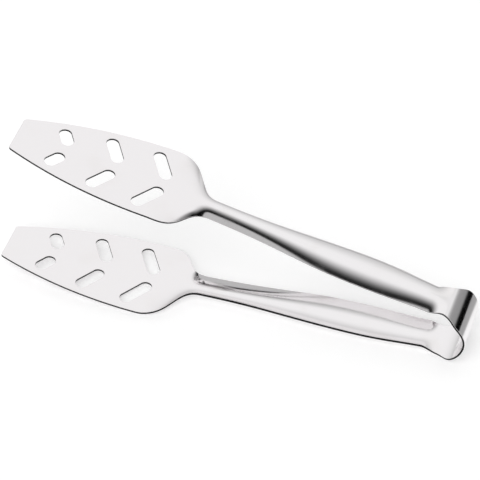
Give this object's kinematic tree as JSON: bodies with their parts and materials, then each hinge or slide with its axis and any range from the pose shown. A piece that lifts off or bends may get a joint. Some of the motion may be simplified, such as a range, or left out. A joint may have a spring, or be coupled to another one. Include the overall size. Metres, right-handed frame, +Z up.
{
  "type": "cake tongs",
  "caption": "Sprung cake tongs bent from one strip of stainless steel, with arched handles and two flat slotted blades that close on each other.",
  "frame": {"origin": "under the middle of the tongs, on the surface that their lower arm lies on", "axes": "+X from the blades towards the bow, +Y across the blades, +Z up, from the lower arm to the upper one"},
  "size_m": [0.2432, 0.0496, 0.0829],
  "materials": {
    "satin_steel": "satin, with fine streaks along the strip",
    "polished_steel": "smooth polish, almost without streaks"
  },
  "bodies": {
    "spring_bow": {"spring_bow": "satin_steel"},
    "upper_arm": {"upper_shoulder": "satin_steel", "upper_handle": "satin_steel", "upper_blade": "polished_steel"},
    "lower_arm": {"lower_shoulder": "satin_steel", "lower_handle": "satin_steel", "lower_blade": "polished_steel"}
  },
  "joints": [
    {"name": "upper_flex", "type": "hinge", "parent": "spring_bow", "child": "upper_arm", "pos_m": [0.11816, 0, 0.02295], "axis": [0, -1, 0], "range_deg": [0, 8.9], "stiffness_Nm_per_rad": 15, "springref_deg": -0.29},
    {"name": "lower_flex", "type": "hinge", "parent": "spring_bow", "child": "lower_arm", "pos_m": [0.1156, 0, 0.00403], "axis": [0, 1, 0], "range_deg": [0, 8.9], "stiffness_Nm_per_rad": 15, "springref_deg": -0.29}
  ],
  "couplings": [
    {"joint": "lower_flex", "follows": "upper_flex", "ratio": 1}
  ]
}
